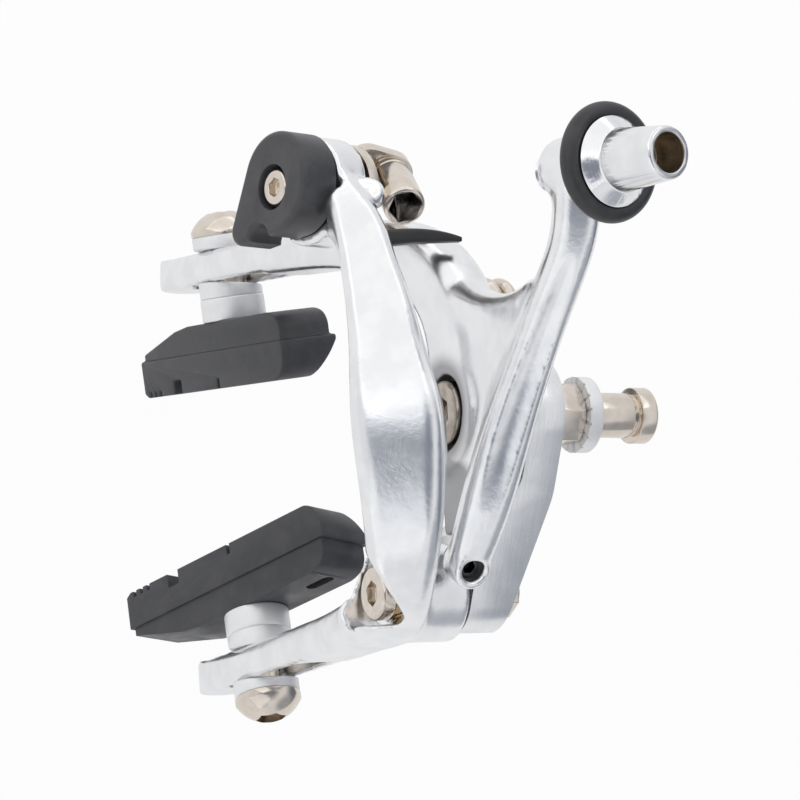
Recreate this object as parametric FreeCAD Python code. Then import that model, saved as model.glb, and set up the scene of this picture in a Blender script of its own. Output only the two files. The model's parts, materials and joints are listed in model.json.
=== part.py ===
import FreeCAD, Part
import os
from math import acos, atan2, cos, degrees, pi, radians, sin, sqrt

# Dual-pivot side-pull brake caliper for a road bicycle, long reach.
# Millimetres. Origin: centre-bolt axis at the rear face of the mounting washer.
# +X to the right as seen from the front, +Y rearwards to the frame, +Z up.

Vec = FreeCAD.Vector

# Shared clearances
pivot_fit = 0.05            # radial running fit of a pin in its bush
running_gap = 0.3           # end float between an arm and the washer or head beside it
release_gap = 0.35          # space between the quick-release eye and its lever
clamp_gap = 0.9             # space between the eye and the clamp plate behind it
thread_fit = 0.05           # radial space between a screw and its plain bore
seat_gap = 0.02             # pieces that are clamped together

# Pivots
side_pivot_x = 30.0
side_pivot_z = -11.5
center_bolt_radius = 3.0
side_bolt_radius = 3.0
bush_wall = 1.2

# Stack along the centre bolt, front to rear
hub_front_y = -28.2
hub_rear_y = -17.0
hub_radius = 10.0
thrust_washer_thick = 0.5
plate_front_y = hub_rear_y + thrust_washer_thick + running_gap
plate_rear_y = -9.6
lock_nut_thick = 5.2
mount_washer_thick = 2.6
mount_washer_radius = 6.7
sleeve_radius = 4.0
sleeve_head_radius = 5.0
sleeve_length = 12.4
sleeve_head_thick = 3.4
bolt_head_radius = 5.6
bolt_head_thick = 3.4
counterbore_radius = 6.45

# Side pivot
boss_radius = 8.6
boss_front_radius = 6.9
boss_front_y = -40.2
boss_step_y = -35.5
boss_rear_y = -23.0
side_plate_front_y = boss_rear_y + thrust_washer_thick + running_gap
side_plate_rear_y = -14.6
side_head_radius = 4.7
side_head_thick = 2.8
side_head_seat_y = -34.9
side_pocket_radius = 6.1
plate_end_radius = 7.2

# Legs
leg_thick = 6.4
leg_slot_width = 7.0
leg_slot_length = 38.0
leg_tip_radius = 5.2
leg_tip_length = 14.0
leg_flat_margin = 4.5
leg_stock = 7.2             # leg thickness before its flats are milled

# Brake pads
pad_length_down = 29.0
pad_length_up = 26.0
pad_thick = 13.0
pad_back_thick = 5.6
pad_block_width = 12.6
pad_back_width = 11.2
pad_bolt_radius = 2.95
pad_washer_radius = 6.25
cone_washer_thick = 5.6
dish_washer_thick = 1.4
outer_washer_thick = 3.2
ball_seat_rise = 1.2
pad_head_radius = 6.3
pad_head_thick = 5.0
pad_head_rim = 1.2
insert_radius = 4.2
insert_depth = 5.4

# Barrel adjuster
adjuster_axis = Vec(0.10, 0.19, 0.977)
adjuster_center = Vec(-33.8, -20.0, 47.0)
adjuster_thread_radius = 2.95
grip_ring_radius = 8.25
grip_tube_radius = 1.6
flange_radius = 7.5
barrel_root_radius = 5.15
barrel_tip_radius = 4.3
housing_radius = 3.2
housing_depth = 6.5
barrel_length = 14.3
adjuster_boss_radius = 5.3
adjuster_boss_top = -4.3
adjuster_boss_bottom = -12.4

# Quick release and cable clamp on the front arm
release_axis = Vec(0.0, -0.974, 0.225)
release_center = Vec(-40.4, -44.0, -11.4)
eye_radius = 9.6
eye_thick = 6.4
cam_radius = 3.0
cam_offset = 1.4
cam_pin_radius = 2.2
lever_radius = 8.9
lever_thick = 7.0
lever_tail_side = 0.65 * lever_radius
lever_tail_drop = 1.17 * lever_radius
lever_tail_radius = 0.29 * lever_radius
lever_notch_side = 0.944 * lever_radius
lever_notch_drop = 0.55 * lever_radius
lever_notch_radius = 0.28 * lever_radius
clamp_plate_thick = 2.0
clamp_plate_radius = 9.0
clamp_head_radius = 3.7
clamp_head_length = 10.6
clamp_bolt_radius = 2.5
clamp_axis = Vec(0.638, -0.157, 0.754)
clamp_spot = Vec(-43.7, -30.9, -10.0)
slide_travel = 2.2

# Return spring
wire_radius = 1.25
bend_bead = 0.05            # swelling of the wire at the bend behind the shoulder
coil_radius = 4.3
coil_pitch = 2.9
coil_turns = 1.25
coil_x = -19.8
coil_z = -7.0
coil_rear_y = -11.8

forward = Vec(0, -1, 0)
rearward = Vec(0, 1, 0)
release_axis.normalize()
clamp_axis.normalize()
adjuster_axis.normalize()


def rod(base, axis, radius, length):
    return Part.makeCylinder(radius, length, base, axis)


def tube(base, axis, outer, inner, length):
    return rod(base, axis, outer, length).cut(rod(base, axis, inner, length))


def soft_rod(base, axis, radius, length, round_front, end_sign):
    """Round bar with one end edge rounded: +1 rounds the far end."""
    bar = rod(base, axis, radius, length)
    middle = base + axis * (length / 2)
    rims = []
    for edge in bar.Edges:
        along = (edge.CenterOfMass - middle).dot(axis) * end_sign
        if len(edge.Vertexes) == 1 and along > length / 4:
            rims.append(edge)
    return bar.makeFillet(round_front, rims)


def hex_bar(base, axis, side_dir, across_flats, length):
    """Six-sided bar, used for nuts and for hexagon sockets."""
    other = axis.cross(side_dir)
    reach = across_flats / sqrt(3)
    points = []
    for step in range(7):
        turn = radians(60 * step)
        points.append(base + side_dir * (reach * cos(turn)) + other * (reach * sin(turn)))
    return Part.Face(Part.makePolygon(points)).extrude(axis * length)


def rounded_ring(center, across, upward, wide, high, corner):
    """Rectangle with round corners, as a closed wire."""
    side = wide / 2 - corner
    rise = high / 2 - corner
    corners = [(side, rise, 0), (-side, rise, 90), (-side, -rise, 180), (side, -rise, 270)]
    arcs = []
    for s, t, start in corners:
        ends = []
        for turn in (start, start + 45, start + 90):
            s_at = s + corner * cos(radians(turn))
            t_at = t + corner * sin(radians(turn))
            ends.append(center + across * s_at + upward * t_at)
        arcs.append(ends)
    edges = []
    for index in range(4):
        first, middle, last = arcs[index]
        edges.append(Part.Arc(first, middle, last).toShape())
        edges.append(Part.makeLine(last, arcs[(index + 1) % 4][0]))
    return Part.Wire(edges)


def arm_ring(x, y, z, heading, lean, wide, high, corner):
    """Section of an arm. heading is the path angle in the X-Z plane, lean turns the
    section about the path so that its broad face looks forward and up."""
    normal = Vec(-sin(radians(heading)), 0, cos(radians(heading)))
    across = rearward * cos(radians(lean)) + normal * sin(radians(lean))
    upward = normal * cos(radians(lean)) - rearward * sin(radians(lean))
    return rounded_ring(Vec(x, y, z), across, upward, wide, high, corner)


def even_rows(rows, spacing):
    """Stations at an even spacing along an arm, eased through the given sections."""
    reach = [0.0]
    for before, after in zip(rows, rows[1:]):
        step = Vec(*after[:3]) - Vec(*before[:3])
        reach.append(reach[-1] + step.Length)
    slopes = []
    for index in range(len(rows)):
        low = max(index - 1, 0)
        top = min(index + 1, len(rows) - 1)
        run = reach[top] - reach[low]
        slopes.append([(b - a) / run for a, b in zip(rows[low], rows[top])])
    count = int(round(reach[-1] / spacing))
    stations = []
    for number in range(count + 1):
        place = reach[-1] * number / count
        index = 0
        while index < len(rows) - 2 and place > reach[index + 1]:
            index += 1
        run = reach[index + 1] - reach[index]
        u = (place - reach[index]) / run
        row = []
        for k in range(len(rows[0])):
            start, end = rows[index][k], rows[index + 1][k]
            lead, trail = slopes[index][k] * run, slopes[index + 1][k] * run
            row.append(start * (2 * u**3 - 3 * u**2 + 1) + lead * (u**3 - 2 * u**2 + u)
                       + end * (3 * u**2 - 2 * u**3) + trail * (u**3 - u**2))
        stations.append(row)
    return stations


def loft_arm(rows, spacing=8.0):
    rings = [arm_ring(*row) for row in even_rows(rows, spacing)]
    return Part.makeLoft(rings, True, False, False, 3)


def half_space(point, outward, size=120.0):
    """Block that fills the side of a plane to which outward points."""
    block = Part.makeBox(size, size, size, Vec(-size / 2, -size / 2, 0))
    block.Placement = FreeCAD.Placement(point, FreeCAD.Rotation(Vec(0, 0, 1), outward))
    return block


def revolve_about(base, axis, side_dir, outline):
    """Turned piece: outline is a list of (distance along axis, radius)."""
    points = [base + axis * s + side_dir * r for s, r in outline]
    points.append(points[0])
    face = Part.Face(Part.makePolygon(points))
    return face.revolve(base, axis, 360)


def turned_cap(base, axis, side_dir, inner, outer, foot, rim, crown):
    """Turned piece with a flat foot and a round crown: heights are along the axis."""
    def spot(height, radius):
        return base + axis * height + side_dir * radius

    span = outer - inner
    sphere = (span * span + (crown - rim) ** 2) / (2 * (crown - rim))
    half_turn = acos(1 - (crown - rim) / sphere) / 2
    middle = spot(crown - sphere * (1 - cos(half_turn)), inner + sphere * sin(half_turn))
    edges = [
        Part.makeLine(spot(foot, inner), spot(foot, outer)),
        Part.makeLine(spot(foot, outer), spot(rim, outer)),
        Part.Arc(spot(rim, outer), middle, spot(crown, inner)).toShape(),
        Part.makeLine(spot(crown, inner), spot(foot, inner)),
    ]
    return Part.Face(Part.Wire(edges)).revolve(base, axis, 360)


def link_outline(radius_a, radius_b, x_b, z_b):
    """Two round ends joined by tangent lines, in the X-Z plane at Y 0."""
    span = sqrt(x_b * x_b + z_b * z_b)
    bearing = atan2(z_b, x_b)
    spread = acos((radius_a - radius_b) / span)

    def on_a(turn):
        return Vec(radius_a * cos(turn), 0, radius_a * sin(turn))

    def on_b(turn):
        return Vec(x_b + radius_b * cos(turn), 0, z_b + radius_b * sin(turn))

    top = bearing + spread
    low = bearing - spread
    edges = [
        Part.makeLine(on_a(top), on_b(top)),
        Part.Arc(on_b(top), on_b(bearing), on_b(low)).toShape(),
        Part.makeLine(on_b(low), on_a(low)),
        Part.Arc(on_a(low), on_a(bearing + pi), on_a(top)).toShape(),
    ]
    return Part.Face(Part.Wire(edges))


def upright_edges(solid, points, reach=0.6):
    """Edges along Z that pass near the given (x, y) places."""
    found = []
    for edge in solid.Edges:
        line = edge.Vertexes[-1].Point - edge.Vertexes[0].Point
        if abs(line.z) < 10:
            continue
        mid = edge.CenterOfMass
        for x, y in points:
            if sqrt((mid.x - x) ** 2 + (mid.y - y) ** 2) < reach:
                found.append(edge)
    return found


def leg_frame(x, y, z, heading):
    """Point on a leg's middle plane, the way down the leg and the plane's normal."""
    down = Vec(cos(radians(heading)), 0, sin(radians(heading)))
    normal = Vec(-sin(radians(heading)), 0, cos(radians(heading)))
    return Vec(x, y, z), down, normal


def leg_slot(point, down, normal):
    """Long hole with round ends, cut square to the leg."""
    radius = leg_slot_width / 2
    half = leg_slot_length / 2 - radius
    low = point + down * half
    high = point - down * half
    edges = [
        Part.Arc(low + rearward * radius, low + down * radius, low - rearward * radius).toShape(),
        Part.makeLine(low - rearward * radius, high - rearward * radius),
        Part.Arc(high - rearward * radius, high - down * radius, high + rearward * radius).toShape(),
        Part.makeLine(high + rearward * radius, low + rearward * radius),
    ]
    slot = Part.Face(Part.Wire(edges)).extrude(normal * 30)
    slot.translate(normal * -15)
    return slot


def finish_leg(arm, frame, slot_shift):
    """Milled flats down to the leg's round end, and the slot for the pad bolt."""
    point, down, normal = frame
    flat_length = leg_slot_length + 2 * leg_flat_margin + leg_tip_length
    flat_middle = point + down * (slot_shift + leg_tip_length / 2)
    for sign in (1, -1):
        face = flat_middle + normal * (sign * leg_thick / 2)
        flat = rounded_ring(face, rearward, down, 40, flat_length, 4)
        arm = arm.cut(Part.Face(flat).extrude(normal * (sign * 8)))
    return arm.cut(leg_slot(point + down * slot_shift, down, normal))


# Front arm: cable clamp eye, strap over the centre, pivot corner and right leg
right_heading = -86.2
right_leg = leg_frame(38.3, -33.7, -69.7, right_heading)
right_leg_end = Vec(39.6, -33.6, -89.0)
front_rows = [
    (-43.0, -44.2, -12.0, 44, 13, 6.4, 13.5, 2.4),
    (-31.0, -43.5, 1.5, 36, 24, 8.4, 8.8, 2.4),
    (-14.0, -43.0, 8.5, 14, 30, 11.5, 9.4, 2.6),
    (3.0, -42.0, 10.6, -2, 32, 15.4, 10.4, 3.0),
    (15.0, -41.0, 8.8, -16, 30, 14.2, 10.0, 3.0),
    (25.0, -39.4, 4.0, -38, 22, 12.4, 9.5, 3.0),
    (33.0, -37.0, -6.5, -68, 10, 12.0, 9.2, 3.0),
    (35.4, -35.0, -24.0, -84, 0, 12.0, 7.8, 2.6),
    (37.0, -33.8, -50.0, right_heading, 0, 12.0, 7.0, 2.4),
    (*right_leg_end, right_heading, 0, 10.3, leg_stock, 2.2),
]
side_pivot = Vec(side_pivot_x, 0, side_pivot_z)
c_arm = loft_arm(front_rows)
right_tip = right_leg_end - right_leg[2] * (leg_stock / 2 + 0.3)
c_arm = c_arm.fuse(rod(right_tip, right_leg[2], leg_tip_radius, leg_stock + 0.6))
pivot_boss = revolve_about(side_pivot, rearward, Vec(1, 0, 0), [
    (boss_front_y, 0), (boss_front_y, boss_front_radius), (boss_step_y, boss_front_radius),
    (boss_step_y + 3, boss_radius), (boss_rear_y, boss_radius), (boss_rear_y, 0)])
c_arm = c_arm.fuse(pivot_boss)

# Slanting cut in the corner of the strap, above the pivot bolt's head
notch_axis = Vec(0.1, -0.46, 0.88)
notch_axis.normalize()
notch_side = notch_axis.cross(Vec(1, 0, 0))
notch_side.normalize()
notch_base = side_pivot + rearward * (side_head_seat_y - side_head_thick) + notch_axis * 0.3
notch_outline = [(-0.7, -8.1), (5.0, 2.9), (5.4, 4.0), (5.1, 4.9), (4.2, 5.3), (-5.6, 5.3), (-5.6, -8.1)]
notch_corners = [notch_base + notch_side * s + Vec(t, 0, 0) for s, t in notch_outline]
notch_corners.append(notch_corners[0])
c_arm = c_arm.cut(Part.Face(Part.makePolygon(notch_corners)).extrude(notch_axis * 32))

# Quick-release eye, ear, and the bores of the front arm
eye_base = release_center - release_axis * (eye_thick / 2)
c_arm = c_arm.fuse(rod(eye_base, release_axis, eye_radius, eye_thick))
ear_up = Vec(-0.61, -0.31, 0.73)
ear_up.normalize()
ear_spot = Vec(-38.6, -40.9, 0.2)
c_arm = c_arm.fuse(soft_rod(ear_spot - ear_up * 2.6, ear_up, 3.4, 3.2, 0.9, 1))
bush_outer = side_bolt_radius + pivot_fit + bush_wall
c_arm = c_arm.cut(rod(side_pivot + rearward * -60, rearward, bush_outer, 60))
pocket_floor = side_pivot + rearward * side_head_seat_y
c_arm = c_arm.cut(rod(pocket_floor, forward, side_pocket_radius, 30))
c_arm = c_arm.cut(rod(eye_base - release_axis * 2, release_axis, cam_radius + pivot_fit, 40))
recess_base = eye_base - release_axis * 14
c_arm = c_arm.cut(rod(recess_base, release_axis, clamp_plate_radius + slide_travel + 0.4, 14))
lever_sweep = lever_radius + 1.5
c_arm = c_arm.cut(rod(eye_base + release_axis * eye_thick, release_axis, lever_sweep, 14))
c_arm = finish_leg(c_arm, right_leg, -6.0)

# Rear arm: hub, left shoulder and leg, adjuster branch and third branch
left_heading = 263.9
left_leg = leg_frame(-39.45, -35.6, -74.0, left_heading)
left_leg_end = Vec(-41.7, -36.0, -95.0)
shoulder_rows = [
    (-1.0, -23.0, 0.0, 180, 0, 9.6, 17.0, 3.0),
    (-12.0, -23.5, 1.0, 180, 0, 9.8, 15.0, 3.0),
    (-22.0, -25.2, -1.2, 205, 0, 10.4, 13.2, 3.2),
    (-30.0, -28.4, -10.0, 238, 0, 11.0, 11.0, 3.0),
    (-33.6, -32.0, -23.0, 258, 0, 11.6, 8.4, 2.6),
    (-35.6, -34.6, -40.0, 263, 0, 12.0, 7.2, 2.4),
    (-38.5, -35.5, -65.0, left_heading, 0, 12.0, 7.0, 2.4),
    (*left_leg_end, left_heading, 0, 10.3, leg_stock, 2.2),
]
branch_rows = [
    (-33.4, -21.6, 39.7, -24, 18, 8.2, 8.2, 2.4),
    (-23.5, -21.2, 36.0, -28, 20, 7.4, 7.0, 2.2),
    (-13.0, -22.4, 28.4, -36, 20, 7.4, 7.2, 2.2),
    (-5.0, -23.5, 22.8, -32, 20, 7.6, 7.6, 2.2),
    (3.0, -24.8, 18.3, -28, 22, 8.2, 8.0, 2.4),
    (10.5, -25.9, 14.5, -28, 22, 8.6, 8.0, 2.4),
    (19.0, -26.9, 9.9, -29, 20, 8.2, 7.4, 2.4),
    (26.8, -27.9, 5.2, -28, 16, 6.8, 6.4, 2.2),
]
y_arm = loft_arm(shoulder_rows)
y_arm = y_arm.fuse(rod(rearward * hub_front_y, rearward, hub_radius, hub_rear_y - hub_front_y))
y_arm = y_arm.fuse(loft_arm(branch_rows))

# Web that ties the branches to the hub, with a round crotch beside the shoulder
web_front_y = -26.2
web_rear_y = side_plate_front_y - 0.9


def web_spot(x, z):
    return Vec(x, web_front_y, z)


web_edges = [
    Part.Arc(web_spot(-22.5, 1.0), web_spot(-15.4, 13.0), web_spot(-14.8, 25)).toShape(),
    Part.makeLine(web_spot(-14.8, 25), web_spot(25.5, 5)),
    Part.makeLine(web_spot(25.5, 5), web_spot(24.5, 1.8)),
    Part.Arc(web_spot(24.5, 1.8), web_spot(14, 1.0), web_spot(6, -7)).toShape(),
    Part.makeLine(web_spot(6, -7), web_spot(-10, -5)),
    Part.makeLine(web_spot(-10, -5), web_spot(-22.5, 1.0)),
]
web = Part.Face(Part.Wire(web_edges)).extrude(rearward * (web_rear_y - web_front_y))
y_arm = y_arm.fuse(web)
crotch_rows = [
    (-24.0, -25.6, -0.6, 36, 0, 8.0, 6.4, 2.8),
    (-19.0, -24.9, 6.0, 58, 4, 7.4, 6.0, 2.7),
    (-15.6, -24.2, 13.6, 78, 8, 7.0, 5.8, 2.6),
    (-14.8, -23.2, 21.0, 98, 12, 6.6, 5.8, 2.6),
    (-16.6, -22.4, 28.0, 116, 14, 6.2, 5.6, 2.4),
]
y_arm = y_arm.fuse(loft_arm(crotch_rows))

# Round end of the third branch with the centring screw hole
screw_up = Vec(sin(radians(28)), 0, cos(radians(28)))
screw_spot = Vec(26.8, -27.9, 5.2)
y_arm = y_arm.fuse(rod(screw_spot - screw_up * 3.2, screw_up, 3.4, 6.4))
adjuster_boss = adjuster_center + adjuster_axis * adjuster_boss_bottom
boss_length = adjuster_boss_top - adjuster_boss_bottom
y_arm = y_arm.fuse(soft_rod(adjuster_boss, adjuster_axis, adjuster_boss_radius, boss_length, 1.4, -1))
left_tip = left_leg_end - left_leg[2] * (leg_stock / 2 + 0.3)
y_arm = y_arm.fuse(rod(left_tip, left_leg[2], leg_tip_radius, leg_stock + 0.6))
hub_bush_outer = center_bolt_radius + pivot_fit + bush_wall
head_seat_y = hub_front_y + bolt_head_thick
y_arm = y_arm.cut(rod(rearward * -50, rearward, hub_bush_outer, 60))
y_arm = y_arm.cut(rod(rearward * -50, rearward, counterbore_radius, head_seat_y + 50))
y_arm = y_arm.cut(rod(adjuster_boss - adjuster_axis * 20, adjuster_axis,
                      adjuster_thread_radius + thread_fit, 60))
y_arm = y_arm.cut(rod(screw_spot - screw_up * 9, screw_up, 2.0, 20))
y_arm = finish_leg(y_arm, left_leg, -4.0)

# Groove between the two ribs of the adjuster branch
groove_rows = []
groove_depths = (-0.3, 0.8, 1.1, 1.1, 0.7, -0.3)
for x, y, z, heading, lean, wide, high, corner in branch_rows[1:7]:
    normal = Vec(-sin(radians(heading)), 0, cos(radians(heading)))
    upward = normal * cos(radians(lean)) - rearward * sin(radians(lean))
    sunk = groove_depths[len(groove_rows)]
    spot = Vec(x, y, z) + upward * (high / 2 + 1.6 - sunk)
    groove_rows.append((spot.x, spot.y, spot.z, heading, lean, wide * 0.5, 3.2, 1.5))
y_arm = y_arm.cut(loft_arm(groove_rows))

# Bridge plate that carries both pivots
link = link_outline(hub_radius, plate_end_radius, side_pivot_x, side_pivot_z)
link.translate(Vec(0, -30, 0))
link = link.extrude(rearward * 40)
plan = [
    (-14, plate_rear_y), (-14, plate_front_y), (13, plate_front_y),
    (19, side_plate_front_y), (44, side_plate_front_y), (44, side_plate_rear_y - 2.0), (15, plate_rear_y),
]
plan_height = 80
plan_corners = [Vec(x, y, -plan_height / 2) for x, y in plan]
plan_corners.append(plan_corners[0])
plan_block = Part.Face(Part.makePolygon(plan_corners)).extrude(Vec(0, 0, plan_height))
plan_block = plan_block.makeFillet(4.0, upright_edges(plan_block, [plan[2], plan[3]]))
plan_block = plan_block.makeFillet(14.0, upright_edges(plan_block, [plan[6]]))
bridge_plate = link.common(plan_block)
bridge_plate = bridge_plate.cut(rod(rearward * -30, rearward, center_bolt_radius + seat_gap, 40))
bridge_plate = bridge_plate.cut(rod(side_pivot + rearward * -30, rearward, side_bolt_radius + seat_gap, 40))
spring_hole_z = coil_z + coil_radius
spring_hole = rod(Vec(-20, coil_rear_y, spring_hole_z), Vec(1, 0, 0), wire_radius + seat_gap, 15.5)
bridge_plate = bridge_plate.cut(spring_hole)

# Centre bolt with its low round head and hexagon socket
bolt_end_y = 8.0
head_front = rearward * (hub_front_y - 0.4)
front_washer_y = head_seat_y - running_gap - thrust_washer_thick
head_seat = rearward * front_washer_y
head_length = front_washer_y - head_front.y
center_bolt = soft_rod(head_seat, forward, bolt_head_radius, head_length, 1.0, 1)
center_bolt = center_bolt.fuse(rod(head_seat, rearward, center_bolt_radius, bolt_end_y - front_washer_y))
center_bolt = center_bolt.cut(hex_bar(head_front, rearward, Vec(1, 0, 0), 5.0, 2.4))
pivot_bore = center_bolt_radius + pivot_fit
front_thrust_washer = tube(head_seat, rearward, bolt_head_radius, pivot_bore, thrust_washer_thick)
rear_washer_base = rearward * (plate_front_y - thrust_washer_thick)
rear_thrust_washer = tube(rear_washer_base, rearward, 8.0, pivot_bore, thrust_washer_thick)
bush_base = rearward * head_seat_y
center_bush = tube(bush_base, rearward, hub_bush_outer, pivot_bore, hub_rear_y - head_seat_y)

# Lock nut, serrated mounting washer and sleeve nut behind the plate
nut_base = rearward * (-mount_washer_thick - lock_nut_thick)
lock_nut = hex_bar(nut_base, rearward, Vec(0, 0, 1), 10.0, lock_nut_thick)
nut_round = revolve_about(nut_base, rearward, Vec(1, 0, 0), [
    (0, 0), (0, 4.9), (0.7, 6.2), (lock_nut_thick - 0.7, 6.2), (lock_nut_thick, 4.9), (lock_nut_thick, 0)])
lock_nut = lock_nut.common(nut_round)
lock_nut = lock_nut.cut(rod(nut_base, rearward, center_bolt_radius + thread_fit, lock_nut_thick))
spacer_length = -mount_washer_thick - lock_nut_thick - plate_rear_y
spacer_washer = tube(rearward * plate_rear_y, rearward, 6.0, center_bolt_radius + thread_fit, spacer_length)
washer_base = rearward * -mount_washer_thick
mounting_washer = tube(washer_base, rearward, mount_washer_radius, center_bolt_radius + thread_fit,
                       mount_washer_thick)
for tooth in range(16):
    turn = 2 * pi * tooth / 16
    ray = Vec(cos(turn), 0, sin(turn))
    notch = rod(washer_base + ray * 4.4, ray, 0.32, 3.0)
    mounting_washer = mounting_washer.cut(notch)
sleeve_nut = revolve_about(Vec(0, 0, 0), rearward, Vec(1, 0, 0), [
    (0.3, center_bolt_radius + thread_fit), (0.3, sleeve_radius - 0.4), (0.7, sleeve_radius),
    (sleeve_length - sleeve_head_thick - 0.9, sleeve_radius),
    (sleeve_length - sleeve_head_thick - 0.9, sleeve_radius - 0.35),
    (sleeve_length - sleeve_head_thick, sleeve_radius - 0.35),
    (sleeve_length - sleeve_head_thick, sleeve_head_radius),
    (sleeve_length - 0.5, sleeve_head_radius), (sleeve_length, sleeve_head_radius - 0.5),
    (sleeve_length, 2.0), (9.0, 2.0), (9.0, center_bolt_radius + thread_fit)])
sleeve_nut = sleeve_nut.cut(hex_bar(rearward * (sleeve_length - 2.2), rearward, Vec(1, 0, 0), 5.0, 4))

# Side pivot bolt, its bush, thrust washer and nut
side_head_y = side_head_seat_y - running_gap
side_seat = side_pivot + rearward * side_head_y
side_bore = side_bolt_radius + pivot_fit
side_pivot_bolt = soft_rod(side_seat, forward, side_head_radius, side_head_thick, 0.8, 1)
side_shank = side_plate_rear_y + 4.2 - side_head_y
side_pivot_bolt = side_pivot_bolt.fuse(rod(side_seat, rearward, side_bolt_radius, side_shank))
socket_base = side_seat + forward * side_head_thick
side_pivot_bolt = side_pivot_bolt.cut(hex_bar(socket_base, rearward, Vec(1, 0, 0), 4.0, 1.9))
side_bush_base = side_pivot + rearward * side_head_seat_y
side_bush = tube(side_bush_base, rearward, bush_outer, side_bore, boss_rear_y - side_head_seat_y)
side_washer_base = side_pivot + rearward * (side_plate_front_y - thrust_washer_thick)
side_thrust_washer = tube(side_washer_base, rearward, 7.0, side_bore, thrust_washer_thick)
side_nut_base = side_pivot + rearward * (side_plate_rear_y - 0.2)
side_nut = hex_bar(side_nut_base, rearward, Vec(1, 0, 0), 8.0, 3.6)
side_nut = side_nut.cut(rod(side_nut_base, rearward, side_bolt_radius + thread_fit, 5))
spot_face = rod(side_nut_base, rearward, 5.6, 8)
bridge_plate = bridge_plate.cut(spot_face)

# Centring screw, sunk in the third branch
centring_screw = rod(screw_spot - screw_up * 5.0, screw_up, 2.0 - thread_fit, 6.0)
centring_screw = centring_screw.cut(hex_bar(screw_spot - screw_up * 1.0, screw_up, Vec(0, 1, 0), 2.0, 3))

# Barrel adjuster, turned, with a grip ring in its groove
adjuster_side = adjuster_axis.cross(rearward)
adjuster_side.normalize()
groove_radius = grip_ring_radius - grip_tube_radius - seat_gap
groove_half = grip_tube_radius + seat_gap
adjuster_barrel = revolve_about(adjuster_center, adjuster_axis, adjuster_side, [
    (adjuster_boss_bottom - 3.0, 1.3), (adjuster_boss_bottom - 3.0, 2.5),
    (adjuster_boss_bottom - 2.5, adjuster_thread_radius), (-3.0, adjuster_thread_radius),
    (-3.0, flange_radius - 0.8), (-2.4, flange_radius), (-groove_half, flange_radius),
    (-groove_half, groove_radius), (groove_half, groove_radius), (groove_half, flange_radius),
    (3.6, barrel_root_radius), (barrel_length - 0.3, barrel_tip_radius),
    (barrel_length, barrel_tip_radius - 0.3),
    (barrel_length, housing_radius), (barrel_length - housing_depth, housing_radius),
    (barrel_length - housing_depth, 1.3)])
ring_center = adjuster_center + adjuster_side * grip_ring_radius
ring_tangent = adjuster_axis.cross(adjuster_side)
grip_profile = Part.Circle(ring_center, ring_tangent, grip_tube_radius).toShape()
grip_ring = Part.Face(Part.Wire(grip_profile)).revolve(adjuster_center, adjuster_axis, 360)

# Quick-release lever, its screw and the cam shaft through the eye
lever_side = Vec(1, 0, 0)
lever_up = release_axis.cross(lever_side)
lever_base = release_center + release_axis * (eye_thick / 2 + release_gap)


def lever_point(s, t):
    return lever_base + lever_side * s + lever_up * t


lever_spot = lever_point(-0.9, 0.3)
tail_spot = lever_point(lever_tail_side, -lever_tail_drop)
lever_span = tail_spot - lever_spot
lever_bearing = atan2(lever_span.dot(lever_up), lever_span.dot(lever_side))
lever_spread = acos((lever_radius - lever_tail_radius) / lever_span.Length)


def lever_rim(spot, radius, turn):
    return spot + lever_side * (radius * cos(turn)) + lever_up * (radius * sin(turn))


turn_a = lever_bearing + lever_spread
turn_b = lever_bearing - lever_spread
lever_edges = [
    Part.makeLine(lever_rim(lever_spot, lever_radius, turn_a),
                  lever_rim(tail_spot, lever_tail_radius, turn_a)),
    Part.Arc(lever_rim(tail_spot, lever_tail_radius, turn_a),
             lever_rim(tail_spot, lever_tail_radius, lever_bearing),
             lever_rim(tail_spot, lever_tail_radius, turn_b)).toShape(),
    Part.makeLine(lever_rim(tail_spot, lever_tail_radius, turn_b),
                  lever_rim(lever_spot, lever_radius, turn_b)),
    Part.Arc(lever_rim(lever_spot, lever_radius, turn_b),
             lever_rim(lever_spot, lever_radius, lever_bearing + pi),
             lever_rim(lever_spot, lever_radius, turn_a)).toShape(),
]
qr_lever = Part.Face(Part.Wire(lever_edges)).extrude(release_axis * lever_thick)
notch_spot = lever_point(lever_notch_side, -lever_notch_drop)
qr_lever = qr_lever.cut(rod(notch_spot - release_axis, release_axis, lever_notch_radius, 20))
front_rim = []
for edge in qr_lever.Edges:
    if (edge.CenterOfMass - lever_base).dot(release_axis) > lever_thick - 0.1:
        front_rim.append(edge)
qr_lever = qr_lever.makeFillet(1.2, front_rim)
screw_head_depth = 3.0
cam_reach = lever_thick - screw_head_depth - 1
cam_seat = cam_radius + seat_gap
qr_lever = qr_lever.cut(rod(lever_base - release_axis, release_axis, cam_seat, 1 + cam_reach))
qr_lever = qr_lever.cut(rod(lever_base, release_axis, 1.6, 20))
screw_floor = lever_base + release_axis * (lever_thick - screw_head_depth)
qr_lever = qr_lever.cut(rod(screw_floor, release_axis, 4.0, 10))
cam_shoulder = 0.5
pin_root = 0.2
cam_rear = eye_thick / 2 + cam_shoulder
cam_front = eye_thick / 2 + release_gap + cam_reach
qr_cam_shaft = rod(release_center - release_axis * cam_rear, release_axis, cam_radius, cam_rear + cam_front)
pin_length = clamp_gap - cam_shoulder + clamp_plate_thick
cam_spot = release_center - lever_up * cam_offset - release_axis * (cam_rear + pin_length)
qr_cam_shaft = qr_cam_shaft.fuse(rod(cam_spot, release_axis, cam_pin_radius, pin_length + pin_root))
screw_seat = lever_base + release_axis * (lever_thick - screw_head_depth)
qr_cam_shaft = qr_cam_shaft.cut(rod(screw_seat - release_axis * 8, release_axis, 1.5, 12))
qr_screw = soft_rod(screw_seat, release_axis, 3.2, 2.6, 0.6, 1)
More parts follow.
